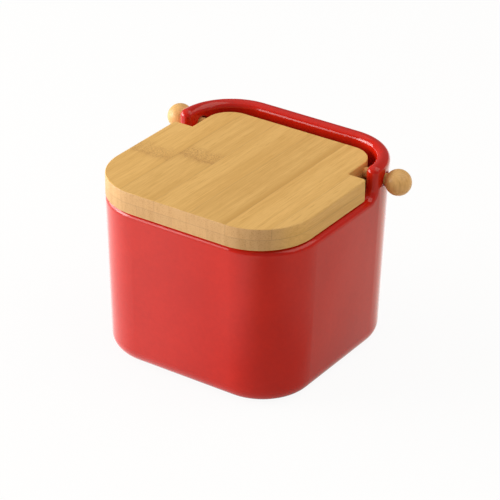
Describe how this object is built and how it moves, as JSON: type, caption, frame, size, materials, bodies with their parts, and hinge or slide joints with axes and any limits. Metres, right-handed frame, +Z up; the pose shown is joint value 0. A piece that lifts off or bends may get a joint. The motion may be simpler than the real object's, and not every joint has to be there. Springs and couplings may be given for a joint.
{
  "type": "salt crock",
  "caption": "Rounded square glazed ceramic salt crock with a raised rear rim and a hinged two-ply bamboo lid that tips back on wooden dowels with ball knobs.",
  "frame": {"origin": "centre of the crock's flat standing face", "axes": "+X to the right along the lid's pivot, +Y to the raised rim at the back, +Z up"},
  "size_m": [0.1512, 0.1248, 0.1065],
  "materials": {
    "red_glaze": "gloss",
    "bamboo_top": "satin",
    "bamboo_underside": "satin",
    "turned_wood": "satin"
  },
  "bodies": {
    "crock": {"crock": "red_glaze"},
    "lid": {"lid_top_slat_1": "bamboo_top", "lid_top_slat_2": "bamboo_top", "lid_top_slat_3": "bamboo_top", "lid_top_slat_4": "bamboo_top", "lid_top_slat_5": "bamboo_top", "lid_top_slat_6": "bamboo_top", "lid_bottom_slat_1": "bamboo_underside", "lid_bottom_slat_2": "bamboo_underside", "lid_bottom_slat_3": "bamboo_underside", "lid_bottom_slat_4": "bamboo_underside", "lid_bottom_slat_5": "bamboo_underside", "lid_bottom_slat_6": "bamboo_underside", "pivot_dowel_left": "turned_wood", "pivot_dowel_right": "turned_wood", "ball_knob_left": "turned_wood", "ball_knob_right": "turned_wood"}
  },
  "joints": [
    {"name": "lid_hinge", "type": "hinge", "parent": "crock", "child": "lid", "pos_m": [0, 0.0363, 0.0968], "axis": [-1, 0, 0], "range_deg": [0, 110]}
  ]
}
